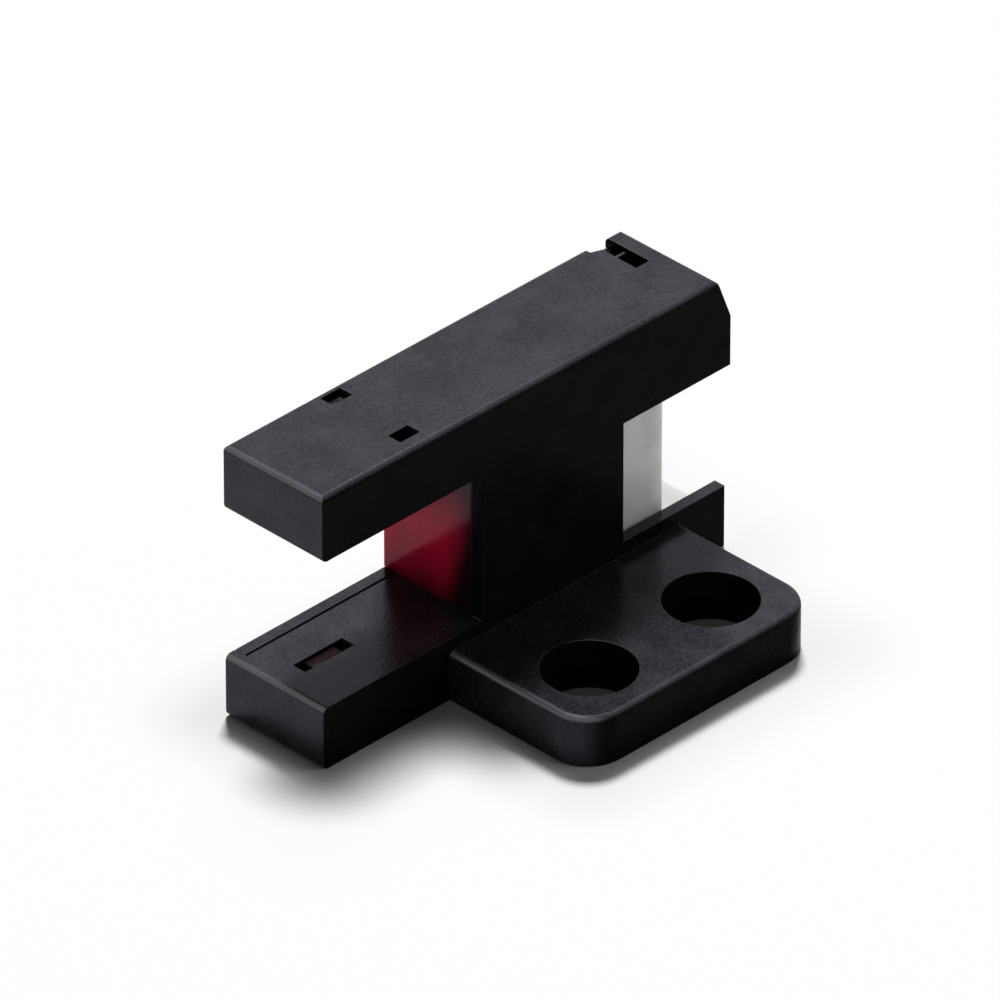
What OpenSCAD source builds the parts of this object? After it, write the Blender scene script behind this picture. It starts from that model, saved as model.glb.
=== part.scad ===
// Slotted optical switch: two arms face each other across a sensing slot, a flange beside
// the lower arm takes two screws, and a plug enters the bay behind the web.
// X runs along the arms, Y across them, and Z stands on the mounting face.
// The origin lies midway between the two screw holes, on the mounting face.

/* [Sensing slot] */
// Gap between the two arms
slot_gap = 5; // [4.6:0.1:8]
// Depth of the slot from the arm tips to the red window
slot_depth = 6.4; // [5.6:0.1:10]
// Distance of the light beam from the arm tips
beam_from_tip = 2; // [1.7:0.1:2.6]
// Length of each light slit along its arm
slit_len = 2; // [1:0.1:2.2]
// Width of each light slit across its arm
slit_w = 0.5; // [0.3:0.05:0.8]

/* [Case] */
// Width of the arms and the web
bar_w = 4; // [3.8:0.1:6]
// Thickness of the lower arm
lower_arm_t = 2.1; // [2:0.1:3]
// Thickness of the upper arm
upper_arm_t = 2.2; // [2:0.1:3]
// Length of the web between the slot and the plug bay
web_len = 5.8; // [5.6:0.1:9]
// Length of the plug bay's floor behind the web
bay_len = 4.2; // [3:0.1:6]
// How far the hood over the plug bay hangs below the upper arm
hood_drop = 0.9; // [0.5:0.1:1.2]
// How far the hood reaches past the plug bay's floor
hood_overrun = 0.2; // [0.1:0.05:0.6]
// Set-back of the hood's slanted end along the top
slant_len = 0.55; // [0.2:0.05:0.8]
// Height of the hood's slanted end
slant_h = 1.4; // [0.5:0.1:2]
// Wall thickness of the moulding
wall = 0.4; // [0.35:0.05:0.5]
// Radius on the outer edges of the moulding
edge_r = 0.2; // [0.05:0.05:0.3]

/* [Latch openings in the top] */
// Distance of the two latch windows from the arm tips
latch_from_tip = 4.05; // [3.6:0.05:4.8]
// Length of each latch window along the arm
latch_len = 0.8; // [0.5:0.05:1]
// Width of each latch window across the arm
latch_w = 0.5; // [0.4:0.05:0.7]
// Distance of the rear notch from the hood's end
notch_from_end = 1.4; // [1.3:0.05:2]
// Width of the rear notch along the arm
notch_len = 0.55; // [0.3:0.05:0.7]
// Reach of the rear notch across the top
notch_reach = 1.8; // [1.3:0.1:2.4]
// Width of the rear notch's mouth over the side plate
mouth_len = 0.9; // [0.75:0.05:1.1]

/* [Mounting flange] */
// Distance of the flange from the arm tips
flange_from_tip = 5.1; // [4:0.1:7]
// Length of the flange along the body
flange_len = 9.5; // [9:0.1:12]
// How far the flange stands out from the body
flange_reach = 5.6; // [4.8:0.1:8]
// Thickness of the flange
flange_t = 1.65; // [1.2:0.05:2]
// Radius of the flange's two outer corners
corner_r = 1.3; // [0.5:0.1:2]
// Diameter of the screw holes
hole_d = 2.9; // [2.2:0.1:3.4]
// Distance between the screw holes
hole_pitch = 5; // [4.4:0.1:5.6]
// Distance of the screw holes from the flange's outer edge
hole_to_edge = 2.2; // [2:0.1:2.8]

/* [Covers] */
// Thickness of the plate that closes the far side
cover_t = 0.4; // [0.3:0.05:0.6]
// Width and depth of the groove along the plate's seam
seam = 0.08; // [0.04:0.02:0.16]
// Clearance between pieces that fit together
fit = 0.03; // [0.02:0.01:0.06]
// Thickness of the red window at the bottom of the slot
window_t = 0.55; // [0.4:0.05:0.7]
// Thickness of the red legs inside the arms
leg_t = 0.38; // [0.25:0.01:0.45]
// Width of the red legs inside the arms
leg_w = 1.6; // [1.2:0.1:2]
// How deep the slit's filling lies below the slot's face
slit_recess = 0.1; // [0.04:0.02:0.2]
// Diameter of the lens on each leg
lens_d = 1.2; // [0.8:0.1:1.4]
// Height of the lens on each leg
lens_rise = 0.1; // [0.05:0.01:0.14]

/* [Connector] */
// How far the white shroud stands out into the plug bay
shroud_len = 2.05; // [1.5:0.05:2.5]
// Wall thickness of the shroud
shroud_wall = 0.45; // [0.3:0.05:0.6]
// Thickness of the shroud's floor, which runs on below the plug
floor_t = 0.75; // [0.5:0.05:1]
// Length of the shroud's foot that the web holds
grip_len = 0.8; // [0.6:0.05:1.2]
// How far the foot rises behind the hood's lower wall
grip_rise = 0.5; // [0.2:0.1:1]
// Width of the key slot in the shroud's roof
key_w = 0.8; // [0.5:0.1:1.2]
// Length of the key slot in the shroud's roof
key_len = 1.2; // [0.6:0.1:1.4]
// Distance between the contact pins
pin_pitch = 0.95; // [0.7:0.05:1]
// Width of the square contact pins
pin_w = 0.3; // [0.2:0.05:0.4]
// Distance of the pins' points from the shroud's mouth
pin_setback = 0.35; // [0.2:0.05:0.6]
// Length of each pin's foot on the board
pin_foot = 0.5; // [0.3:0.05:0.7]

/* [Electronics] */
// Thickness of the circuit board
board_t = 0.4; // [0.2:0.05:0.5]
// Clearance round the circuit board
board_gap = 0.12; // [0.08:0.02:0.2]
// Diameter of the two pegs that carry the board
peg_d = 0.9; // [0.7:0.1:1]
// Diameter of the pegs' ends, which locate the board
peg_end_d = 0.5; // [0.3:0.05:0.6]
// Length of the emitter and of the receiver along the arm
element_len = 1.6; // [1.4:0.1:2]
// Depth of the emitter and of the receiver across the arm
element_w = 1.5; // [1.3:0.1:1.6]
// Space between a red leg and the emitter or receiver
element_gap = 0.15; // [0.14:0.01:0.2]
// Diameter of the emitter's bright cup at its mouth
cup_d = 0.9; // [0.5:0.1:1.2]
// Length of the indicator lamp along the window
lamp_len = 1.2; // [0.8:0.1:1.6]
// Side length of the amplifier's package
amplifier_len = 1.8; // [1.4:0.1:2]
// Length of the small transistor and diode packages
package_len = 1.2; // [0.9:0.1:1.3]
// Length of the resistors and the capacitor
chip_len = 1; // [0.8:0.05:1.1]

/* [Hidden] */
$fn = 48;

// How far a cut runs past the face it opens
over = 1;

// Stations along the arms
x_tip = -flange_from_tip - flange_len / 2;
x_beam = x_tip + beam_from_tip;
x_latch = x_tip + latch_from_tip;
x_slot = x_tip + slot_depth;
x_window = x_slot + window_t;
x_web = x_slot + web_len;
x_floor = x_web + bay_len;
x_hood = x_floor + hood_overrun;
x_notch = x_hood - notch_from_end;
x_notch_end = x_notch + notch_len / 2;
x_room = x_hood - slant_len - wall;

// Planes across the arms
y_edge = -hole_to_edge;
y_near = flange_reach - hole_to_edge;
y_mid = y_near + bar_w / 2;
y_far = y_near + bar_w;
y_in = y_near + wall;
y_seat = y_far - cover_t;
y_latch_near = y_near + 1.3 * wall;
y_latch_far = y_far - 0.6 * wall - latch_w;

// Levels above the mounting face
z_slot = lower_arm_t;
z_upper = z_slot + slot_gap;
z_centre = z_slot + slot_gap / 2;
z_top = z_upper + upper_arm_t;
z_roof = z_top - wall;
z_hood = z_upper - hood_drop;

// Light path: the legs lie on the slot walls, the emitter and the receiver beyond them
z_leg = z_upper + wall + fit;
z_emitter = z_leg + leg_t + element_gap;
z_receiver = 2 * z_centre - z_emitter;
fill_len = 0.6 * slit_len;

// Circuit board: its front face carries the emitter so that the beam runs on the centre plane
y_board_front = y_mid - element_w / 2;
y_board_back = y_board_front - board_t;
x_board = x_window + board_gap;
z_board = wall + board_gap;
z_board_top = z_roof - board_gap;
x_peg = x_board + peg_d;
z_pegs = [z_board + peg_d, z_board_top - peg_d];

// Connector
x_foot = x_web - grip_len;
x_board_end = x_foot - board_gap;
x_mouth = x_web + shroud_len;
z_base = wall + fit;
z_floor = z_base + floor_t;
z_shroud = z_hood - fit;
y_socket = (y_in + y_seat) / 2;
socket_w = y_seat - y_in - 2 * fit - 2 * shroud_wall;
socket_z = z_floor + shroud_wall;
socket_h = z_shroud - shroud_wall - socket_z;
x_socket = x_web + wall;
z_pins = socket_z + socket_h / 2;
y_pin_foot = y_board_front + pin_w / 2;
pin_crank = abs(y_socket - y_pin_foot);
x_pin_foot = x_board_end - pin_crank - pin_foot;
pin_taper = pin_w / 2;

// Places on the circuit board
package_w = 0.8;
package_h = 0.5;
chip_w = 0.5;
chip_h = 0.35;
amplifier_h = 0.7;
lamp_w = 0.8;
lamp_depth = 0.6;
part_gap = 0.35;
x_parts = (x_board + lamp_depth + x_pin_foot) / 2;
x_rear_parts = x_board_end - package_len / 2 - board_gap;
row_1 = amplifier_len / 2 + part_gap + package_w / 2;
row_2 = row_1 + package_w / 2 + part_gap + chip_w / 2;
rear_row_1 = 2 * pin_pitch + part_gap + package_w / 2;
rear_row_2 = rear_row_1 + package_w / 2 + part_gap + chip_w / 2;

// Extrudes an outline drawn in X and Z from one Y plane to another
module along_y(from, to) {
    translate([0, to, 0])
        rotate([90, 0, 0])
            linear_extrude(to - from)
                children();
}

// Extrudes an outline drawn in Y and Z from one X station to another
module along_x(from, to) {
    translate([from, 0, 0])
        rotate([90, 0, 90])
            linear_extrude(to - from)
                children();
}

// Rectangle between two corners
module span(low, high) {
    translate(low)
        square(high - low);
}

// Block between two corners
module block(low, high) {
    translate(low)
        cube(high - low);
}

// What a round corner of radius r takes off a square corner at the origin
module corner_off(r, turn) {
    rotate(turn)
        difference() {
            translate([-r, -r])
                square(2 * r);
            translate([r, r])
                circle(r);
            translate([r, -over])
                square([over, 2 * over]);
            translate([-over, r])
                square([2 * over, over]);
        }
}

// Copies a shape to the other arm, across the middle of the slot
module other_arm() {
    translate([0, 0, 2 * z_centre])
        mirror([0, 0, 1])
            children();
}

// Side outline of the body: two arms, the web, and the hood with its slanted end
module bar_outline() {
    difference() {
        union() {
            span([x_tip, 0], [x_floor, z_slot]);
            span([x_slot, 0], [x_web, z_top]);
            span([x_tip, z_upper], [x_hood, z_top]);
            span([x_web, z_hood], [x_hood, z_top]);
        }
        for (z = [0, z_upper])
            translate([x_tip, z])
                corner_off(edge_r, 0);
        for (z = [z_slot, z_top])
            translate([x_tip, z])
                corner_off(edge_r, -90);
        translate([x_hood, z_top])
            slant_off();
    }
}

// What the slanted end with its round upper corner takes off the hood
module slant_off() {
    turn = atan2(slant_h, slant_len);
    flat = edge_r * tan(turn / 2);
    x_round = -slant_len - flat;
    difference() {
        polygon([
            [x_round, -edge_r], [x_round, over], [over, over], [over, -slant_h], [0, -slant_h],
            [flat * cos(turn) - slant_len, -flat * sin(turn)]
        ]);
        translate([x_round, -edge_r])
            circle(edge_r);
    }
}

// End outline of the body, with its upper edges rounded
module bar_section() {
    difference() {
        span([y_near, 0], [y_far, z_top]);
        translate([y_near, z_top])
            corner_off(edge_r, -90);
        translate([y_far, z_top])
            corner_off(edge_r, 180);
    }
}

// Mounting flange with round outer corners and a rounded upper rim
module flange() {
    side = flange_len / 2;
    along_x(-side + corner_r, side - corner_r)
        difference() {
            span([y_edge, 0], [y_in, flange_t]);
            translate([y_edge, flange_t])
                corner_off(edge_r, -90);
        }
    along_y(y_edge + corner_r, y_in)
        difference() {
            span([-side, 0], [side, flange_t]);
            translate([-side, flange_t])
                corner_off(edge_r, -90);
            translate([side, flange_t])
                corner_off(edge_r, 180);
        }
    for (s = [-1, 1])
        translate([s * (side - corner_r), y_edge + corner_r, 0])
            rotate_extrude()
                difference() {
                    square([corner_r, flange_t]);
                    translate([corner_r, flange_t])
                        corner_off(edge_r, 180);
                }
}

// Side outline of the hollow in the body
module hollow_outline() {
    span([x_tip + wall, z_upper + wall], [x_room, z_roof]);
    span([x_tip + wall, wall], [x_web, z_slot - wall]);
    span([x_slot, wall], [x_web, z_roof]);
    span([x_web - wall, z_hood + wall], [x_room, z_roof]);
    span([x_web - wall, wall], [x_floor + over, z_slot + wall]);
}

// Side outline of the plate that closes the far side, grown by a clearance
module cover_outline(grow) {
    span([x_tip + wall - grow, z_upper - grow], [x_room + grow, z_roof + grow]);
    span([x_web - wall, z_hood - grow], [x_room + grow, z_roof + grow]);
    span([x_window + fit - grow, wall - grow], [x_web + grow, z_roof + grow]);
    span([x_tip + wall - grow, wall - grow], [x_floor + grow, z_slot + grow]);
}

// Cuts for one light slit and the seam groove beside it, at the upper arm
module slit_cuts() {
    block([x_beam - slit_len / 2, y_mid - slit_w / 2, z_upper - wall],
          [x_beam + slit_len / 2, y_mid + slit_w / 2, z_upper + wall + fit]);
    block([x_tip + wall, y_seat - seam, z_upper - wall], [x_slot, y_seat + seam, z_upper + seam]);
}

// Windows and notch in the top that the side plate latches into
module latch_cuts() {
    for (y = [y_latch_near, y_latch_far])
        block([x_latch - latch_len / 2, y, z_roof - wall],
              [x_latch + latch_len / 2, y + latch_w, z_top + over]);
    block([x_notch - notch_len / 2, y_far - notch_reach, z_roof - wall],
          [x_notch_end, y_far + over, z_top + over]);
    block([x_notch_end - mouth_len, y_seat, z_roof], [x_notch_end, y_far + over, z_top + over]);
}

// Pegs on the near wall that carry the board
module board_pegs() {
    for (z = z_pegs)
        translate([x_peg, y_in - wall / 2, z])
            rotate([-90, 0, 0]) {
                cylinder(d = peg_d, h = y_board_back - y_in + wall / 2);
                cylinder(d = peg_end_d, h = y_board_front + board_gap - y_in + wall / 2);
            }
}

// Black moulded body, open on the far side
module case() {
    color("#1b1b1f") {
        difference() {
            union() {
                intersection() {
                    along_y(y_near, y_far)
                        bar_outline();
                    along_x(x_tip - over, x_hood + over)
                        bar_section();
                }
                flange();
            }
            along_y(y_in, y_far + over)
                hollow_outline();
            along_y(y_seat, y_far + over)
                cover_outline(fit);
            slit_cuts();
            other_arm()
                slit_cuts();
            latch_cuts();
            for (s = [-1, 1])
                translate([s * hole_pitch / 2, 0, -over])
                    cylinder(d = hole_d, h = flange_t + 2 * over);
        }
        board_pegs();
    }
}

// Hook on the side plate: an arm under the roof with a barb that rises into an opening
module hook(x, len, y_from, y_to, z_end) {
    arm_t = 1.2 * wall;
    z_arm = z_roof - fit;
    along_x(x - len / 2 + 2 * fit, x + len / 2 - 2 * fit)
        polygon([
            [y_far - fit, z_arm - arm_t], [y_from, z_arm - arm_t], [y_from, z_arm],
            [(y_from + y_to) / 2, z_end], [y_to, z_end], [y_to, z_arm], [y_far - fit, z_arm]
        ]);
}

// Black plate on the far side, with a hook for each opening and a wedge in the rear notch's mouth
module side_cover() {
    color("#18181c") {
        along_y(y_seat, y_far) {
            cover_outline(0);
            polygon([
                [x_notch_end - mouth_len + 2 * fit, z_roof - wall], [x_notch_end - 2 * fit, z_roof - wall],
                [x_notch_end - 2 * fit, z_roof], [x_notch_end - mouth_len + 2 * fit, z_top - edge_r]
            ]);
        }
        hook(x_latch, latch_len, y_latch_far + fit, y_latch_far + latch_w - fit, z_roof + 0.4 * wall);
        hook(x_notch, notch_len, y_seat - 1.5 * wall, y_seat - wall, z_roof + 0.7 * wall);
    }
}

// One leg of the red moulding in the upper arm: slit filling, leg and lens
module slit_leg() {
    lens_r = (lens_d * lens_d / 4 + lens_rise * lens_rise) / (2 * lens_rise);
    block([x_tip + wall + fit, y_mid - leg_w / 2, z_leg], [x_window, y_mid + leg_w / 2, z_leg + leg_t]);
    block([x_beam - fill_len / 2, y_mid - slit_w / 2 + fit, z_upper + slit_recess],
          [x_beam + fill_len / 2, y_mid + slit_w / 2 - fit, z_leg + leg_t]);
    intersection() {
        translate([x_beam, y_mid, z_leg + leg_t + lens_rise - lens_r])
            sphere(lens_r, $fn = 96);
        translate([x_beam, y_mid, z_leg])
            cylinder(d = lens_d, h = leg_t + 2 * lens_rise);
    }
}

// Red moulding: window at the bottom of the slot, and a leg behind the slit of each arm
module slit_cover() {
    z_end = z_leg + leg_t;
    color("#8c0f24") {
        block([x_slot, y_in + fit, 2 * z_centre - z_end], [x_window, y_seat - fit, z_end]);
        block([x_slot, y_in + fit, z_slot + fit], [x_window, y_far, z_upper - fit]);
        slit_leg();
        other_arm()
            slit_leg();
    }
}

// C-shaped board that reaches into both arms
module circuit_board() {
    color("#1d5a38")
        difference() {
            along_y(y_board_back, y_board_front) {
                span([x_board, z_board], [x_board_end, z_board_top]);
                span([x_tip + wall + board_gap, z_emitter], [x_board_end, z_board_top]);
                span([x_tip + wall + board_gap, z_board], [x_board_end, z_receiver]);
            }
            for (z = z_pegs)
                translate([x_peg, y_board_back - over, z])
                    rotate([-90, 0, 0])
                        cylinder(d = peg_end_d + 2 * fit, h = board_t + 2 * over);
        }
}

// Infrared emitter in the upper arm, with its bright cup towards the slit
module emitter_led() {
    cup_h = 0.3;
    color("#b9c4d6")
        difference() {
            block([x_beam - element_len / 2, y_board_front, z_emitter],
                  [x_beam + element_len / 2, y_board_front + element_w, z_roof - fit]);
            translate([x_beam, y_mid, z_emitter - fit])
                cylinder(d1 = cup_d, d2 = cup_d / 2, h = cup_h);
        }
}

// Photo receiver in the lower arm, with a square sensing recess towards the slit
module receiver_ic() {
    recess = 0.12;
    color("#2a2430")
        difference() {
            block([x_beam - element_len / 2, y_board_front, z_base],
                  [x_beam + element_len / 2, y_board_front + element_w, z_receiver]);
            translate([x_beam - cup_d / 2, y_mid - cup_d / 2, z_receiver - recess])
                cube([cup_d, cup_d, over]);
        }
}

// Lamp behind the red window, with its cup towards the window
module indicator_led() {
    cup = 0.6 * lamp_w;
    color("#f2efe4")
        difference() {
            block([x_board, y_board_front, z_centre - lamp_len / 2],
                  [x_board + lamp_depth, y_board_front + lamp_w, z_centre + lamp_len / 2]);
            translate([x_board - fit, y_board_front + lamp_w / 2, z_centre])
                rotate([0, 90, 0])
                    cylinder(d1 = cup, d2 = cup / 2, h = lamp_depth / 2);
        }
}

// Moulded package on the board with leads along its upper and lower sides
module package(x, z, len, w, h, leads) {
    lead_w = 0.2;
    lead_t = 0.15;
    lead_out = 0.15;
    pitch = len / leads;
    translate([x, y_board_front, z]) {
        translate([-len / 2, lead_t / 3, -w / 2 + lead_out])
            cube([len, h - lead_t / 3, w - 2 * lead_out]);
        for (i = [0 : leads - 1])
            translate([(i - (leads - 1) / 2) * pitch - lead_w / 2, 0, -w / 2])
                cube([lead_w, lead_t, w]);
    }
}

// Ceramic part on the board with a metal cap at each end
module chip_part(x, z) {
    cap = 0.22;
    step = 0.03;
    translate([x, y_board_front, z]) {
        translate([-chip_len / 2 + step, 0, -chip_w / 2 + step])
            cube([chip_len - 2 * step, chip_h - step, chip_w - 2 * step]);
        for (s = [-1, 1])
            translate([s * (chip_len - cap) / 2 - cap / 2, 0, -chip_w / 2])
                cube([cap, chip_h, chip_w]);
    }
}

// Amplifier and output logic
module amplifier_chip() {
    color("#202022")
        package(x_parts, z_pins, amplifier_len, amplifier_len, amplifier_h, 4);
}

// Output transistors above and below the amplifier
module output_transistor_1() {
    color("#202022")
        package(x_parts, z_pins + row_1, package_len, package_w, package_h, 3);
}

module output_transistor_2() {
    color("#202022")
        package(x_parts, z_pins - row_1, package_len, package_w, package_h, 3);
}

// Diode in the supply line
module protection_diode() {
    color("#202022")
        package(x_rear_parts, z_pins + rear_row_1, package_len, package_w, package_h, 2);
}

// Resistor in series with the emitter
module led_resistor() {
    color("#33333a")
        chip_part(x_parts, z_pins + row_2);
}

// Resistor in series with the lamp
module indicator_resistor() {
    color("#33333a")
        chip_part(x_rear_parts, z_pins + rear_row_2);
}

// Resistor that sets the receiver's level
module bias_resistor() {
    color("#33333a")
        chip_part(x_parts, z_pins - row_2);
}

// Capacitor across the supply
module bypass_capacitor() {
    color("#8a6f55")
        chip_part(x_rear_parts, z_pins - rear_row_1);
}

// Level of a contact pin, counted from the lowest
function pin_z(i) = z_pins + (i - 1.5) * pin_pitch;

// White shroud: a foot held in the web, a socket for the plug and a floor below it
module connector_header() {
    low = y_in + fit;
    high = y_seat - fit;
    hole = pin_w + 2 * fit;
    color("#e6e6e2")
        difference() {
            union() {
                block([x_foot, low, z_base], [x_web - fit, high, z_hood + wall + grip_rise]);
                block([x_foot, low, z_base], [x_mouth, high, z_shroud]);
                block([x_foot, low, z_base], [x_floor - fit, high, z_floor]);
            }
            block([x_socket, y_socket - socket_w / 2, socket_z],
                  [x_mouth + over, y_socket + socket_w / 2, socket_z + socket_h]);
            block([x_mouth - key_len, y_socket - key_w / 2, socket_z],
                  [x_mouth + over, y_socket + key_w / 2, z_hood]);
            for (i = [0 : 3])
                translate([x_foot - over, y_socket - hole / 2, pin_z(i) - hole / 2])
                    cube([x_socket - x_foot + 2 * over, hole, hole]);
        }
}

// Contact pin: a pointed blade in the socket, cranked down to a foot on the board
module pin(i) {
    half = pin_w / 2;
    point = x_mouth - pin_setback;
    color("#d8b35a")
        translate([0, 0, pin_z(i) - half])
            linear_extrude(pin_w)
                polygon([
                    [x_pin_foot, y_pin_foot - half],
                    [x_board_end - pin_crank, y_pin_foot - half],
                    [x_board_end, y_socket - half],
                    [point - pin_taper, y_socket - half],
                    [point, y_socket - half / 2],
                    [point, y_socket + half / 2],
                    [point - pin_taper, y_socket + half],
                    [x_board_end, y_socket + half],
                    [x_board_end - pin_crank, y_pin_foot + half],
                    [x_pin_foot, y_pin_foot + half]
                ]);
}

case();
side_cover();
slit_cover();
circuit_board();
emitter_led();
receiver_ic();
indicator_led();
amplifier_chip();
output_transistor_1();
output_transistor_2();
protection_diode();
led_resistor();
indicator_resistor();
bias_resistor();
bypass_capacitor();
connector_header();
pin(3);  // pin_supply
pin(2);  // pin_output_1
pin(1);  // pin_output_2
pin(0);  // pin_ground
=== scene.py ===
"""Slotted optical switch: dressed meshes, finishes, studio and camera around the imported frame."""

import logging
import math
from abc import ABC, abstractmethod
from dataclasses import dataclass, field
from enum import Enum
from typing import Any

import bmesh
import bpy
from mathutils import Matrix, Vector


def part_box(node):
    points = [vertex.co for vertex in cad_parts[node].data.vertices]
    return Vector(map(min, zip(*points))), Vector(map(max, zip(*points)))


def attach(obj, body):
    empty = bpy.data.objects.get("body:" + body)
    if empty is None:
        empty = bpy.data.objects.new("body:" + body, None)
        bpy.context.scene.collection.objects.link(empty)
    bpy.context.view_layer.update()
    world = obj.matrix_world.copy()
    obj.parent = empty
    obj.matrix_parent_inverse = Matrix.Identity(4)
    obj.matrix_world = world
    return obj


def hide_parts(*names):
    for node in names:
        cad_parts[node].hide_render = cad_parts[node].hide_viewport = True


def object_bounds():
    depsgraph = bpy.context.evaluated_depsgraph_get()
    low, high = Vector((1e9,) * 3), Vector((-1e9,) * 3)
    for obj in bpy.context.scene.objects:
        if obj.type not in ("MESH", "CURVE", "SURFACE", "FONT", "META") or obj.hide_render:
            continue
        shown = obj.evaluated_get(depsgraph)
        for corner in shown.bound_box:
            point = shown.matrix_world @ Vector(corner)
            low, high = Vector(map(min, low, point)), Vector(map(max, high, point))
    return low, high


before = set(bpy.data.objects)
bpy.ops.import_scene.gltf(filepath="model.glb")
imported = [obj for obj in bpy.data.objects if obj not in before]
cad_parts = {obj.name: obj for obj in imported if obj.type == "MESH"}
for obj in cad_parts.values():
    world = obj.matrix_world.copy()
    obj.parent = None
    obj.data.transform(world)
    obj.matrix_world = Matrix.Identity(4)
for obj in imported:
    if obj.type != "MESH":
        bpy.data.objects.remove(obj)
cad_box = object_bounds()

LOG = logging.getLogger("optical_switch")
MM = 0.001
BODY = "root"
RED_MOULDING = "slit_cover"

Pair = tuple[float, float]
Triple = tuple[float, float, float]
Rectangle = tuple[Pair, Pair]

WHITE: Triple = (1.0, 1.0, 1.0)
EVEN: Triple = (1.0, 1.0, 1.0)
NOISE_MEAN = 0.5


class Slot(Enum):
    """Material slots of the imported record."""

    CASE = "case_black"
    WINDOW = "window_red"
    BOARD = "board_green"
    EMITTER = "emitter_resin"
    RECEIVER = "receiver_resin"
    LAMP = "lamp_white"
    PACKAGE = "package_black"
    CERAMIC = "chip_ceramic"
    HEADER = "header_white"
    CONTACT = "contact_gold"


class Axis(Enum):
    """Axes that a small part runs along from end to end, by their number in a vector."""

    X = 0
    Z = 2


class Operation(Enum):
    """Operations of a Math node."""

    ADD = "ADD"
    SUBTRACT = "SUBTRACT"
    MULTIPLY = "MULTIPLY"
    ABSOLUTE = "ABSOLUTE"
    MAXIMUM = "MAXIMUM"
    ROOT = "SQRT"


class Value:
    """A quantity that varies over a surface, held as a node's output socket."""

    def __init__(self, graph: "Graph", socket: bpy.types.NodeSocket) -> None:
        """Keep the socket and the graph that its node stands in."""
        self.graph = graph
        self.socket = socket

    def __add__(self, other: "Value | float") -> "Value":
        """Sum of two values."""
        return self.graph.math(Operation.ADD, self, other)

    def __radd__(self, other: float) -> "Value":
        """Sum with a number on the left."""
        return self.graph.math(Operation.ADD, other, self)

    def __sub__(self, other: "Value | float") -> "Value":
        """Difference of two values."""
        return self.graph.math(Operation.SUBTRACT, self, other)

    def __rsub__(self, other: float) -> "Value":
        """Difference from a number on the left."""
        return self.graph.math(Operation.SUBTRACT, other, self)

    def __mul__(self, other: "Value | float") -> "Value":
        """Product of two values."""
        return self.graph.math(Operation.MULTIPLY, self, other)

    def __rmul__(self, other: float) -> "Value":
        """Product with a number on the left."""
        return self.graph.math(Operation.MULTIPLY, other, self)

    def __neg__(self) -> "Value":
        """This value with its sign turned."""
        return 0.0 - self

    def __abs__(self) -> "Value":
        """Size of this value without its sign."""
        return self.graph.math(Operation.ABSOLUTE, self)

    def highest(self, other: "Value | float") -> "Value":
        """Larger of two values."""
        return self.graph.math(Operation.MAXIMUM, self, other)

    def root(self) -> "Value":
        """Square root of this value."""
        return self.graph.math(Operation.ROOT, self)

    def swing(self, size: float) -> "Value":
        """This noise as a swing of that size about 0."""
        return size * (self - NOISE_MEAN)

    def rise(self, start: float, end: float) -> "Value":
        """Smooth step of this value.

        Args:
            start: Value at which the step is 0.
            end: Value at which the step is 1.

        Returns:
            A value from 0 to 1.
        """
        step = self.graph.node(
            "ShaderNodeMapRange",
            {"interpolation_type": "SMOOTHSTEP"},
            {"Value": self, "From Min": start, "From Max": end},
        )
        return Value(self.graph, step.outputs["Result"])


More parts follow.
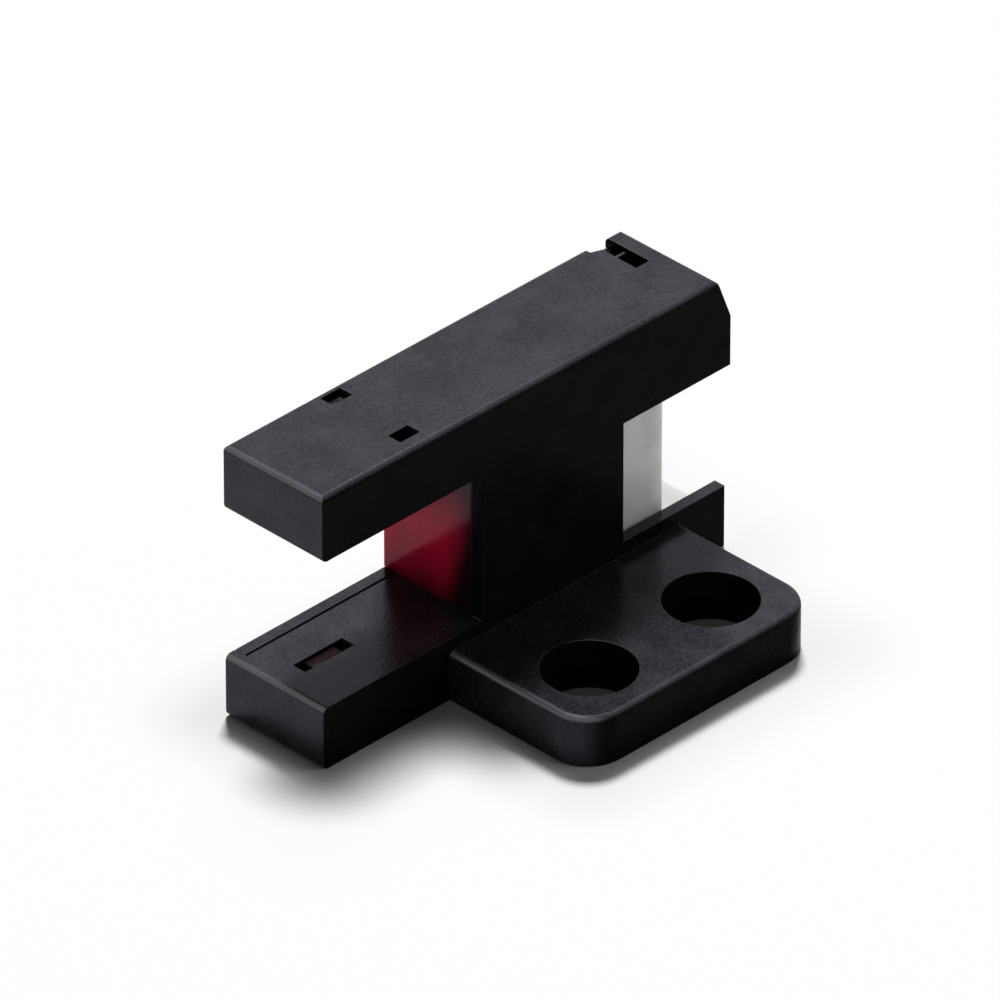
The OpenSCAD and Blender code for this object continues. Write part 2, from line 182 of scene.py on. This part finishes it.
class Graph:
    """Node tree of one material or world."""

    def __init__(self, owner: bpy.types.Material | bpy.types.World) -> None:
        """Empty the owner's node tree and take it over.

        Args:
            owner: Material or world.
        """
        owner.use_nodes = True
        self.owner = owner
        self.tree = owner.node_tree
        self.tree.nodes.clear()

    def node(
        self,
        kind: str,
        settings: dict[str, Any] | None = None,
        sockets: dict[str | int, Any] | None = None,
    ) -> bpy.types.Node:
        """Add one node.

        Args:
            kind: Type name of the node.
            settings: Properties of the node, set before its sockets.
            sockets: Values or links, by the name or number of the input.

        Returns:
            The new node.
        """
        made = self.tree.nodes.new(kind)
        for name, setting in (settings or {}).items():
            setattr(made, name, setting)
        for name, given in (sockets or {}).items():
            self._plug(made.inputs[name], given)
        return made

    def _plug(self, target: bpy.types.NodeSocket, given: Any) -> None:
        """Link a value or a node's first output to a socket, or set the socket to a plain number or colour.

        Args:
            target: Input socket.
            given: Value, node, number, vector or colour.
        """
        if isinstance(given, Value):
            self.tree.links.new(given.socket, target)
        elif isinstance(given, bpy.types.Node):
            self.tree.links.new(given.outputs[0], target)
        elif target.type == "RGBA":
            target.default_value = (*given, 1.0)
        else:
            target.default_value = given

    def math(self, operation: Operation, *terms: "Value | float") -> Value:
        """Value of a Math node's operation on the terms."""
        made = self.node("ShaderNodeMath", {"operation": operation.value}, dict(enumerate(terms)))
        return Value(self, made.outputs[0])

    def place(self, stretch: Triple = EVEN) -> Value:
        """Position in the row frame, in metres.

        Args:
            stretch: Factor on each axis.

        Returns:
            The position as a vector value.
        """
        where = Value(self, self.node("ShaderNodeTexCoord").outputs["Object"])
        scaled = self.node("ShaderNodeVectorMath", {"operation": "MULTIPLY"}, {0: where, 1: stretch})
        return Value(self, scaled.outputs[0])

    def normal(self) -> Value:
        """Direction that the surface faces, in the row frame."""
        return Value(self, self.node("ShaderNodeTexCoord").outputs["Normal"])

    def split(self, vector: Value) -> tuple[Value, Value, Value]:
        """The three parts of a vector."""
        made = self.node("ShaderNodeSeparateXYZ", None, {0: vector})
        return Value(self, made.outputs[0]), Value(self, made.outputs[1]), Value(self, made.outputs[2])

    def noise(self, size: float, detail: float = 2.0, stretch: Triple = EVEN) -> Value:
        """Cloudy noise.

        Args:
            size: Length of one cell in metres.
            detail: Octaves of finer noise.
            stretch: Factor on each axis, below 1 for longer cells.

        Returns:
            A value about the mean of the noise.
        """
        made = self.node(
            "ShaderNodeTexNoise",
            None,
            {"Vector": self.place(stretch), "Scale": 1.0 / size, "Detail": detail},
        )
        return Value(self, made.outputs["Fac"])

    def mix(self, factor: "Value | float", low: "Value | Triple", high: "Value | Triple") -> Value:
        """Colour between two colours.

        Args:
            factor: Share of the second colour.
            low: Colour at 0.
            high: Colour at 1.

        Returns:
            The mixed colour.
        """
        made = self.node("ShaderNodeMix", {"data_type": "RGBA"}, {0: factor, 6: low, 7: high})
        return Value(self, made.outputs[2])

    def bump(self, height: Value, depth: float) -> Value:
        """Normal bent by a height field, whose height of 1 is the depth in metres."""
        made = self.node("ShaderNodeBump", None, {"Height": height, "Distance": depth, "Strength": 1.0})
        return Value(self, made.outputs["Normal"])

    def surface(self, shader: bpy.types.Node) -> Any:
        """Set the shader on the output.

        Args:
            shader: Last node of the tree.

        Returns:
            The material or world.
        """
        kind = "Material" if isinstance(self.owner, bpy.types.Material) else "World"
        self.node(f"ShaderNodeOutput{kind}", None, {"Surface": shader})
        return self.owner

    def principled(self, sockets: dict[str | int, Any]) -> bpy.types.Node:
        """Principled shader with these sockets."""
        return self.node("ShaderNodeBsdfPrincipled", None, sockets)

    def blend(self, factor: Value, first: bpy.types.Node, second: bpy.types.Node) -> bpy.types.Node:
        """Mix Shader from the first shader at 0 to the second at 1."""
        return self.node("ShaderNodeMixShader", None, {0: factor, 1: first, 2: second})


def beyond(origin: float, span: Pair) -> Pair:
    """Places of a span that is measured from an origin."""
    return origin + span[0], origin + span[1]


@dataclass(frozen=True)
class Finish(ABC):
    """Finish of one kind of surface, made as a node material of its own."""

    name: str

    def graph(self) -> Graph:
        """Empty node tree of a new material with this finish's name."""
        return Graph(bpy.data.materials.new(self.name))

    @abstractmethod
    def material(self) -> bpy.types.Material:
        """Material of the finish, which each kind makes in its own way."""


@dataclass(frozen=True)
class MouldedBlack(Finish):
    """Black glass-filled polyester: grained ends and tops, darker and less glossy side walls that carry
    painted shade, and glossy rounded edges.
    """

    name: str = "moulded_black"
    deep: Triple = (0.0158, 0.0154, 0.0186)
    pale: Triple = (0.0425, 0.0412, 0.049)
    tone_span: Pair = (0.33, 0.67)
    grain: float = 0.09 * MM
    grain_depth: float = 0.006 * MM
    grain_share: float = 0.5
    cloud: float = 1.1 * MM
    cloud_detail: float = 4.0
    roughness: float = 0.2
    grain_swing: float = 0.18
    cloud_swing: float = 0.072
    specular: float = 0.17
    tint: Triple = (0.68, 0.66, 1.0)
    edge_span: Pair = (0.001, 0.015)
    edge_roughness: float = 0.4
    gloss: float = 0.9
    gloss_span: Pair = (0.15, 0.5)
    gloss_roughness: float = 0.35
    gloss_ior: float = 1.7
    # Shaded copy: painted shade on the side walls and the walls by the window, darker and less glossy than
    # the tops.
    painted_shade_deep: Triple = (0.003, 0.003, 0.0036)
    painted_shade_pale: Triple = (0.006, 0.006, 0.0073)
    painted_shade_specular: float = 0.01
    painted_shade_wall_span: Pair = (0.55, 0.95)
    painted_recess_shade_span: Pair = (0.5, 0.9)
    painted_recess_shade_reach: Pair = (-1.3 * MM, -0.9 * MM)

    def material(self) -> bpy.types.Material:
        """Mix the grained tops and ends with a darker, less glossy copy that paints shade on the walls.

        Returns:
            The material.
        """
        graph = self.graph()
        grain = graph.noise(self.grain)
        cloud = graph.noise(self.cloud, self.cloud_detail)
        tone = (self.grain_share * grain + (1.0 - self.grain_share) * cloud).rise(*self.tone_span)
        rough = self.roughness + grain.swing(self.grain_swing) + cloud.swing(self.cloud_swing)
        bent = graph.bump(grain, self.grain_depth)
        edge, glint = self._edges(graph)
        top = graph.principled({
            "Base Color": graph.mix(tone, self.deep, self.pale),
            "Roughness": rough + self.edge_roughness * edge,
            "Specular IOR Level": self.specular,
            "Specular Tint": self.tint,
            "Coat Weight": glint * self.gloss,
            "Coat Roughness": self.gloss_roughness,
            "Coat IOR": self.gloss_ior,
            "Normal": bent,
        })
        # Shaded copy of the black, whose darker colours are painted shade.
        wall = graph.principled({
            "Base Color": graph.mix(tone, self.painted_shade_deep, self.painted_shade_pale),
            "Roughness": rough,
            "Specular IOR Level": self.painted_shade_specular,
            "Normal": bent,
        })
        return graph.surface(graph.blend(self._painted_shade_mask(graph), top, wall))

    def _edges(self, graph: Graph) -> tuple[Value, Value]:
        """Find the rounded edges.

        Args:
            graph: Node tree of the material.

        Returns:
            A value of 1 on every rounded edge, and a value of 1 on those that face up and to the arm tips.
        """
        x, y, z = graph.split(graph.normal())
        edge = (1.0 - abs(x).highest(abs(y)).highest(abs(z))).rise(*self.edge_span)
        return edge, edge * z.rise(*self.gloss_span) * (-x).rise(*self.gloss_span)

    def _painted_shade_mask(self, graph: Graph) -> Value:
        """Find where shade is painted: the side walls, and every wall from a little before the window
        onwards.

        Args:
            graph: Node tree of the material.

        Returns:
            A value of 1 on those walls.
        """
        _, y, z = graph.split(graph.normal())
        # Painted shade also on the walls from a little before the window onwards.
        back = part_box(RED_MOULDING)[1].x
        painted_recess_shade = graph.split(graph.place())[0].rise(*beyond(back, self.painted_recess_shade_reach))
        return abs(y).rise(*self.painted_shade_wall_span).highest(painted_recess_shade * (1.0 - abs(z)).rise(*self.painted_recess_shade_span))


@dataclass(frozen=True)
class RedWindow(Finish):
    """Dark red polycarbonate, darkened at its near foot and its top by painted shade.

    Heights are measured from the middle of the moulding, and places across it from its near side.
    """

    name: str = "red_window"
    # deep is the colour of the painted shade, clear the red where none is painted.
    deep: Triple = (0.012, 0.0004, 0.002)
    clear: Triple = (0.62, 0.003, 0.045)
    base: float = 0.55
    streak: float = 0.35 * MM
    streak_detail: float = 3.0
    streak_stretch: Triple = (1.0, 1.0, 0.12)
    streak_depth: float = 0.004 * MM
    streak_share: float = 0.6
    cloud: float = 1.05 * MM
    cloud_share: float = 0.3
    # Painted shade: spans and lean that darken the red towards its near foot and under its top.
    painted_shade_climb: Pair = (-5.1 * MM, -0.6 * MM)
    across: Pair = (-0.33 * MM, 1.37 * MM)
    painted_shade_lean: float = 5.2 * MM
    painted_top_shade: Pair = (-0.6 * MM, 2.0 * MM)
    painted_top_shade_share: float = 0.95
    roughness: float = 0.16
    cloud_swing: float = 0.2
    ior: float = 1.585
    specular: float = 0.1
    tint: Triple = (1.0, 0.85, 1.0)
    scatter: float = 0.4
    scatter_radius: Triple = (1.0, 0.05, 0.08)
    scatter_scale: float = 0.3 * MM

    def material(self) -> bpy.types.Material:
        """Streak the red and paint shade on it towards its near foot and its top.

        Returns:
            The material.
        """
        graph = self.graph()
        streak = graph.noise(self.streak, self.streak_detail, self.streak_stretch)
        cloud = graph.noise(self.cloud)
        low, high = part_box(RED_MOULDING)
        middle = (low.z + high.z) / 2
        _, y, z = graph.split(graph.place())
        # Painted shade: light drops towards the near foot, and depth drops again towards the top.
        level = z - self.painted_shade_lean * (1.0 - y.rise(*beyond(low.y, self.across)))
        light = level.rise(*beyond(middle, self.painted_shade_climb))
        depth = light * (1.0 - self.painted_top_shade_share * z.rise(*beyond(middle, self.painted_top_shade)))
        tone = depth * (self.base + self.streak_share * streak + self.cloud_share * cloud)
        return graph.surface(graph.principled({
            "Base Color": graph.mix(tone, self.deep, self.clear),
            "Roughness": self.roughness + cloud.swing(self.cloud_swing),
            "IOR": self.ior,
            "Specular IOR Level": self.specular,
            "Specular Tint": self.tint,
            "Subsurface Weight": self.scatter,
            "Subsurface Radius": self.scatter_radius,
            "Subsurface Scale": self.scatter_scale,
            "Normal": graph.bump(streak, self.streak_depth),
        }))


@dataclass(frozen=True)
class WhiteNylon(Finish):
    """White nylon of the plug socket, slightly grained."""

    name: str = "white_nylon"
    shade: Triple = (0.52, 0.52, 0.51)
    white: Triple = (0.63, 0.63, 0.615)
    tone_span: Pair = (0.3, 0.7)
    grain: float = 0.1 * MM
    grain_depth: float = 0.003 * MM
    grain_swing: float = 0.15
    cloud: float = 1.4 * MM
    cloud_detail: float = 3.0
    roughness: float = 0.42
    scatter: float = 0.8
    scatter_radius: Triple = (1.0, 0.97, 0.92)
    scatter_scale: float = 1.2 * MM

    def material(self) -> bpy.types.Material:
        """Cloud the white and grain its gloss.

        Returns:
            The material.
        """
        graph = self.graph()
        grain = graph.noise(self.grain)
        cloud = graph.noise(self.cloud, self.cloud_detail)
        return graph.surface(graph.principled({
            "Base Color": graph.mix(cloud.rise(*self.tone_span), self.shade, self.white),
            "Roughness": self.roughness + grain.swing(self.grain_swing),
            "Subsurface Weight": self.scatter,
            "Subsurface Radius": self.scatter_radius,
            "Subsurface Scale": self.scatter_scale,
            "Normal": graph.bump(grain, self.grain_depth),
        }))


@dataclass(frozen=True)
class Plating(Finish):
    """Plated metal with faint drawing lines along one axis."""

    dull: Triple
    bright: Triple
    roughness: float
    tone_span: Pair = (0.3, 0.7)
    line: float = 0.04 * MM
    line_stretch: Triple = (0.08, 1.0, 1.0)
    line_depth: float = 0.001 * MM
    line_swing: float = 0.25
    stain: float = 0.48 * MM
    stain_detail: float = 3.0
    stain_swing: float = 0.15

    def material(self) -> bpy.types.Material:
        """Stain the metal and draw fine lines in its gloss.

        Returns:
            The material.
        """
        graph = self.graph()
        line = graph.noise(self.line, stretch=self.line_stretch)
        stain = graph.noise(self.stain, self.stain_detail)
        return graph.surface(graph.principled({
            "Base Color": graph.mix(stain.rise(*self.tone_span), self.dull, self.bright),
            "Metallic": 1.0,
            "Roughness": self.roughness + line.swing(self.line_swing) + stain.swing(self.stain_swing),
            "Normal": graph.bump(line, self.line_depth),
        }))


@dataclass(frozen=True)
class Laminate(Finish):
    """Green solder mask over copper tracks on a glass laminate."""

    name: str = "board_mask"
    mask: Triple = (0.008, 0.085, 0.03)
    track: Triple = (0.02, 0.16, 0.06)
    track_share: float = 0.8
    pitch: float = 0.5 * MM
    track_width: float = 0.12
    track_blur: float = 0.2
    track_run: float = 3.0
    track_row: float = 0.9
    track_shift: float = 0.5
    flat: Triple = (1.0, 0.0, 1.0)
    weave: float = 0.12 * MM
    weave_share: float = 0.2
    weave_swing: float = 0.2
    weave_rise: float = 0.3
    relief: float = 0.01 * MM
    roughness: float = 0.38
    coat: float = 0.3

    def material(self) -> bpy.types.Material:
        """Lay the tracks and the weave under the mask.

        Returns:
            The material.
        """
        graph = self.graph()
        tracks = graph.node(
            "ShaderNodeTexBrick",
            {"offset": self.track_shift},
            {"Vector": graph.place(self.flat), "Scale": 1.0 / self.pitch, "Mortar Size": self.track_width,
             "Mortar Smooth": self.track_blur, "Brick Width": self.track_run, "Row Height": self.track_row},
        )
        line = Value(graph, tracks.outputs["Fac"])
        weave = graph.noise(self.weave)
        tone = self.track_share * line + self.weave_share * weave
        return graph.surface(graph.principled({
            "Base Color": graph.mix(tone, self.mask, self.track),
            "Roughness": self.roughness + weave.swing(self.weave_swing),
            "Coat Weight": self.coat,
            "Normal": graph.bump(line + self.weave_rise * weave, self.relief),
        }))


@dataclass(frozen=True)
class Resin(Finish):
    """Moulded resin of a package, plain or clear, with a sanded grain."""

    deep: Triple
    pale: Triple
    roughness: float
    coat: float = 0.0
    specular: float = 0.5
    tone_span: Pair = (0.3, 0.7)
    grain: float = 0.05 * MM
    grain_depth: float = 0.003 * MM
    grain_share: float = 0.5
    grain_swing: float = 0.2
    cloud: float = 0.4 * MM
    detail: float = 3.0

    def material(self) -> bpy.types.Material:
        """Grain and cloud the resin.

        Returns:
            The material.
        """
        graph = self.graph()
        grain = graph.noise(self.grain, self.detail)
        cloud = graph.noise(self.cloud, self.detail)
        tone = (self.grain_share * grain + (1.0 - self.grain_share) * cloud).rise(*self.tone_span)
        return graph.surface(graph.principled({
            "Base Color": graph.mix(tone, self.deep, self.pale),
            "Roughness": self.roughness + grain.swing(self.grain_swing),
            "Coat Weight": self.coat,
            "Specular IOR Level": self.specular,
            "Normal": graph.bump(grain, self.grain_depth),
        }))


BLACK_PACKAGE = Resin("package_epoxy", (0.012, 0.012, 0.013), (0.03, 0.03, 0.032), roughness=0.55)
DARK_RECEIVER = Resin("receiver_epoxy", (0.012, 0.009, 0.016), (0.03, 0.022, 0.04), roughness=0.25, coat=0.4)
CLEAR_EMITTER = Resin("emitter_epoxy", (0.34, 0.4, 0.5), (0.52, 0.58, 0.66), roughness=0.18, coat=0.6)
WHITE_LAMP = Resin("lamp_body", (0.7, 0.68, 0.6), (0.85, 0.84, 0.78), roughness=0.4)
DARK_LEGS = Resin("slit_legs", (0.012, 0.004, 0.008), (0.03, 0.008, 0.016), roughness=0.35, specular=0.03)
CERAMIC = Resin("chip_body", (0.02, 0.02, 0.025), (0.045, 0.045, 0.05), roughness=0.3, coat=0.3)
GOLD = Plating("gold_plating", (0.62, 0.4, 0.12), (0.83, 0.6, 0.26), roughness=0.26)
TIN = Plating("tin_plating", (0.5, 0.5, 0.49), (0.72, 0.72, 0.7), roughness=0.34)


@dataclass
class Moulding:
    """Mesh of one solid with its faces merged and its sharp edges broken, with angles in degrees."""

    node: str
    slot: Slot
    edge: float
    segments: int = 2
    roundness: float = 0.5
    sharp: float = 34.0
    crease: float = 50.0
    flat: float = 0.4
    weld: float = 0.0005 * MM
    area_weight: int = 100
    ending: str = "_dressed"

    def build(self, *finishes: bpy.types.Material) -> bpy.types.Object:
        """Make the piece, set it on the body and dress it.

        Args:
            finishes: Materials of the piece, the main one first.

        Returns:
            The piece.
        """
        mesh = bpy.data.meshes.new(self.node + self.ending)
        shape = bmesh.new()
        shape.from_mesh(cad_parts[self.node].data)
        self._merge(shape)
        self._break_edges(shape)
        shape.to_mesh(mesh)
        shape.free()
        piece = bpy.data.objects.new(mesh.name, mesh)
        bpy.context.scene.collection.objects.link(piece)
        for finish in finishes:
            mesh.materials.append(finish)
        even = piece.modifiers.new("even_normals", "WEIGHTED_NORMAL")
        even.keep_sharp = True
        even.weight = self.area_weight
        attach(piece, BODY)
        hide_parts(self.node)
        return piece

    def _merge(self, shape: bmesh.types.BMesh) -> None:
        """Weld the corners and join the triangles of each flat face.

        Args:
            shape: Mesh of the solid.
        """
        bmesh.ops.remove_doubles(shape, verts=shape.verts, dist=self.weld)
        bmesh.ops.dissolve_limit(
            shape, angle_limit=math.radians(self.flat), verts=shape.verts, edges=shape.edges,
            delimit={"NORMAL"},
        )

    def _break_edges(self, shape: bmesh.types.BMesh) -> None:
        """Round every sharp edge, and shade smoothly across all but the creases.

        Args:
            shape: Merged mesh.
        """
        bmesh.ops.bevel(
            shape, geom=self._folds(shape, self.sharp), affect="EDGES",
            offset=self.edge, offset_type="OFFSET", clamp_overlap=True, loop_slide=True,
            segments=self.segments, profile=self.roundness,
        )
        for part in (*shape.faces, *shape.edges):
            part.smooth = True
        for fold in self._folds(shape, self.crease):
            fold.smooth = False

    def _folds(self, shape: bmesh.types.BMesh, degrees: float) -> list[bmesh.types.BMEdge]:
        """Edges whose two faces turn by more than an angle."""
        limit = math.radians(degrees)
        return [edge for edge in shape.edges if edge.is_manifold and edge.calc_face_angle(0.0) > limit]


@dataclass
class Housing:
    """Black case and the plate that closes its far side."""

    edge: float = 0.04 * MM
    nodes: tuple[str, ...] = ("case", "side_cover")
    finish: MouldedBlack = field(default_factory=MouldedBlack)

    def build(self) -> list[bpy.types.Object]:
        """Make both mouldings in one black material."""
        black = self.finish.material()
        return [Moulding(node, Slot.CASE, self.edge).build(black) for node in self.nodes]


@dataclass
class Optics:
    """Red moulding with the window and the two slit legs."""

    edge: float = 0.03 * MM
    depth: float = 0.6 * MM
    snug: float = 0.03 * MM
    finish: RedWindow = field(default_factory=RedWindow)

    def build(self) -> list[bpy.types.Object]:
        """Make the red moulding, with its legs darker than its window and its near side close to the wall.

        Returns:
            The moulding, alone in a list.
        """
        red = self.finish.material()
        piece = Moulding(RED_MOULDING, Slot.WINDOW, self.edge).build(red, DARK_LEGS.material())
        low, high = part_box(RED_MOULDING)
        for face in piece.data.polygons:
            if face.center.x < high.x - self.depth:
                face.material_index = 1
        for corner in piece.data.vertices:
            if corner.co.y < low.y + self.edge / 2:
                corner.co.y -= self.snug
        return [piece]


@dataclass
class Connector:
    """White plug socket with its four contacts."""

    edge: float = 0.05 * MM
    pin_edge: float = 0.02 * MM
    node: str = "connector_header"
    pins: tuple[str, ...] = ("pin_supply", "pin_output_1", "pin_output_2", "pin_ground")
    finish: WhiteNylon = field(default_factory=WhiteNylon)

    def build(self) -> list[bpy.types.Object]:
        """Make the socket and its contacts.

        Returns:
            The socket and then the contacts.
        """
        gold = GOLD.material()
        made = [Moulding(self.node, Slot.HEADER, self.edge).build(self.finish.material())]
        made += [Moulding(pin, Slot.CONTACT, self.pin_edge).build(gold) for pin in self.pins]
        return made


@dataclass
class Electronics:
    """Circuit board with the light source, the receiver, the lamp and the small parts."""

    edge: float = 0.02 * MM
    packages: tuple[str, ...] = (
        "amplifier_chip", "output_transistor_1", "output_transistor_2", "protection_diode",
    )
    chips: tuple[str, ...] = ("led_resistor", "indicator_resistor", "bias_resistor", "bypass_capacitor")
    lead_out: float = 0.15 * MM
    cap_len: float = 0.22 * MM

    def build(self) -> list[bpy.types.Object]:
        """Make the board and everything on it.

        Returns:
            The board, the optical parts, the packages and the chips.
        """
        tin = TIN.material()
        made = [
            Moulding("circuit_board", Slot.BOARD, self.edge).build(Laminate().material()),
            Moulding("emitter_led", Slot.EMITTER, self.edge).build(CLEAR_EMITTER.material()),
            Moulding("receiver_ic", Slot.RECEIVER, self.edge).build(DARK_RECEIVER.material()),
            Moulding("indicator_led", Slot.LAMP, self.edge).build(WHITE_LAMP.material()),
        ]
        epoxy = BLACK_PACKAGE.material()
        for node in self.packages:
            piece = Moulding(node, Slot.PACKAGE, self.edge).build(epoxy, tin)
            self._metal(piece, node, Axis.Z, self.lead_out)
            made.append(piece)
        ceramic = CERAMIC.material()
        for node in self.chips:
            piece = Moulding(node, Slot.CERAMIC, self.edge).build(ceramic, tin)
            self._metal(piece, node, Axis.X, self.cap_len)
            made.append(piece)
        return made

    def _metal(self, piece: bpy.types.Object, node: str, axis: Axis, reach: float) -> None:
        """Give the faces near both ends of a part the second material.

        Args:
            piece: Dressed part.
            node: Solid it stands for.
            axis: Axis that runs from end to end.
            reach: How far the metal comes in from each end, in metres.
        """
        low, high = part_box(node)
        start, end = low[axis.value], high[axis.value]
        for face in piece.data.polygons:
            station = face.center[axis.value]
            if min(station - start, end - station) < reach:
                face.material_index = 1


def direction(azimuth: float, elevation: float) -> Vector:
    """Unit vector from the object towards a viewer or lamp.

    Args:
        azimuth: Degrees round the object, 0 from -Y and 90 from +X.
        elevation: Degrees above the floor.

    Returns:
        The unit vector.
    """
    a, e = math.radians(azimuth), math.radians(elevation)
    return Vector((math.sin(a) * math.cos(e), -math.cos(a) * math.cos(e), math.sin(e)))


@dataclass(frozen=True)
class SoftLamp:
    """Square area lamp, with its level as the shade that it gives a white card held square to it."""

    name: str
    azimuth: float
    elevation: float
    level: float
    size: float
    distance: float = 0.3

    def build(self, aim: Vector) -> bpy.types.Object:
        """Set up the lamp.

        Args:
            aim: Point that it faces.

        Returns:
            The lamp.
        """
        data = bpy.data.lights.new(self.name, "AREA")
        data.size = self.size
        data.energy = self.level * (math.pi * self.distance) ** 2
        lamp = bpy.data.objects.new(self.name, data)
        way = direction(self.azimuth, self.elevation)
        lamp.location = aim + way * self.distance
        lamp.rotation_euler = (-way).to_track_quat("-Z", "Y").to_euler()
        bpy.context.scene.collection.objects.link(lamp)
        return lamp


@dataclass
class Studio:
    """White floor and background, soft lamps and the camera."""

    azimuth: float = -45.134
    elevation: float = 33.51
    distance: float = 523.26 * MM
    slide_right: float = 0.601 * MM
    slide_up: float = -0.159 * MM
    lens: float = 654.33
    sensor: float = 36.0
    clip_range: Pair = (0.01, 10.0)
    floor_size: float = 3.0
    floor_drop: float = 0.02 * MM
    floor_colour: Triple = (0.94, 0.94, 0.94)
    floor_glow: float = 0.97
    glow_end: float = 3.2 * MM
    sky_level: float = 0.04
    lamps: tuple[SoftLamp, ...] = (
        SoftLamp("key", azimuth=133.0, elevation=60.0, level=1.0, size=0.06),
        SoftLamp("fill", azimuth=40.0, elevation=12.0, level=0.3, size=0.2),
        SoftLamp("top", azimuth=180.0, elevation=78.0, level=0.015, size=0.3),
    )

    def build(self) -> None:
        """Set up the floor, the world, the lamps and the camera."""
        low, high = cad_box
        emitter_low, emitter_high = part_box("emitter_led")
        centre = (low + high) / 2
        aim = Vector((centre.x, (emitter_low.y + emitter_high.y) / 2, centre.z))
        self._floor(aim, low.z)
        self._world()
        for lamp in self.lamps:
            lamp.build(aim)
        self._camera(aim)
        bpy.context.scene.view_settings.view_transform = "Standard"

    def _seen(self, graph: Graph) -> Value:
        """Find the rays from the camera, from gloss and through clear pieces.

        Args:
            graph: Node tree of the floor or the world.

        Returns:
            A value of 1 for those rays.
        """
        path = graph.node("ShaderNodeLightPath")
        kinds = ("Camera", "Glossy", "Transmission")
        direct, mirrored, through = (Value(graph, path.outputs[f"Is {kind} Ray"]) for kind in kinds)
        return direct.highest(mirrored).highest(through)

    def _floor(self, aim: Vector, level: float) -> None:
        """Lay the floor, which glows white from a small distance outwards.

        Args:
            aim: Middle of the object.
            level: Height of the object's lowest point.
        """
        mesh = bpy.data.meshes.new("studio_floor")
        shape = bmesh.new()
        bmesh.ops.create_grid(shape, x_segments=1, y_segments=1, size=self.floor_size / 2)
        shape.to_mesh(mesh)
        shape.free()
        floor = bpy.data.objects.new("studio_floor", mesh)
        floor.location = (aim.x, aim.y, level - self.floor_drop)
        bpy.context.scene.collection.objects.link(floor)
        mesh.materials.append(self._floor_white(aim))

    def _floor_white(self, aim: Vector) -> bpy.types.Material:
        """White card that takes the shadow near the object and glows further out.

        Args:
            aim: Middle of the floor.

        Returns:
            The material of the floor.
        """
        graph = Graph(bpy.data.materials.new("floor_white"))
        glow = graph.node("ShaderNodeEmission", None, {"Color": WHITE, "Strength": 1.0})
        card = graph.node("ShaderNodeBsdfDiffuse", None, {"Color": self.floor_colour})
        body, flange = (self._away(graph, aim, area) for area in self._footprint())
        clear = body.rise(0.0, self.glow_end) * flange.rise(0.0, self.glow_end)
        return graph.surface(graph.blend(clear * self._seen(graph) * self.floor_glow, card, glow))

    def _footprint(self) -> tuple[Rectangle, Rectangle]:
        """Find what the object covers on the floor.

        Returns:
            The rectangle of the body, and that of the flange, in which the screw holes lie at y = 0.
        """
        low, high = cad_box
        corners = [corner.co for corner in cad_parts["case"].data.vertices]
        edge = [corner.x for corner in corners if corner.y < 0.0]
        start, end = min(edge), max(edge)
        side = min(corner.y for corner in corners if corner.x < start)
        return ((low.x, side), (high.x, high.y)), ((start, low.y), (end, side))

    def _away(self, graph: Graph, aim: Vector, area: Rectangle) -> Value:
        """Distance outwards from a rectangle on the floor.

        Args:
            graph: Node tree of the floor.
            aim: Middle of the floor.
            area: Lower and upper corner of the rectangle.

        Returns:
            The distance in metres, 0 inside the rectangle.
        """
        low, high = area
        x, y, _ = graph.split(graph.place())
        along = (abs(x - ((low[0] + high[0]) / 2 - aim.x)) - (high[0] - low[0]) / 2).highest(0.0)
        across = (abs(y - ((low[1] + high[1]) / 2 - aim.y)) - (high[1] - low[1]) / 2).highest(0.0)
        return (along * along + across * across).root()

    def _world(self) -> None:
        """Make the surroundings white where they are seen and dim as light."""
        world = bpy.data.worlds.new("studio_white")
        graph = Graph(world)
        dim = graph.node("ShaderNodeBackground", None, {"Color": WHITE, "Strength": self.sky_level})
        white = graph.node("ShaderNodeBackground", None, {"Color": WHITE, "Strength": 1.0})
        graph.surface(graph.blend(self._seen(graph), dim, white))
        bpy.context.scene.world = world

    def _camera(self, aim: Vector) -> None:
        """Stand the camera where the photograph was taken from.

        Args:
            aim: Point that the view is centred on, before the slide.
        """
        data = bpy.data.cameras.new("camera")
        data.lens = self.lens
        data.sensor_width = self.sensor
        data.clip_start, data.clip_end = self.clip_range
        camera = bpy.data.objects.new("camera", data)
        back = direction(self.azimuth, self.elevation)
        turn = (-back).to_track_quat("-Z", "Y")
        slide = turn @ Vector((self.slide_right, self.slide_up, 0.0))
        camera.location = aim + back * self.distance + slide
        camera.rotation_euler = turn.to_euler()
        bpy.context.scene.collection.objects.link(camera)
        bpy.context.scene.camera = camera


def main() -> None:
    """Build every sub-assembly and the studio, and report each piece."""
    logging.basicConfig(level=logging.INFO, format="%(name)s: %(message)s")
    for assembly in (Housing(), Optics(), Connector(), Electronics()):
        for piece in assembly.build():
            LOG.info("%s: %s has %d faces", type(assembly).__name__, piece.name, len(piece.data.polygons))
    Studio().build()


if __name__ == "__main__":
    main()
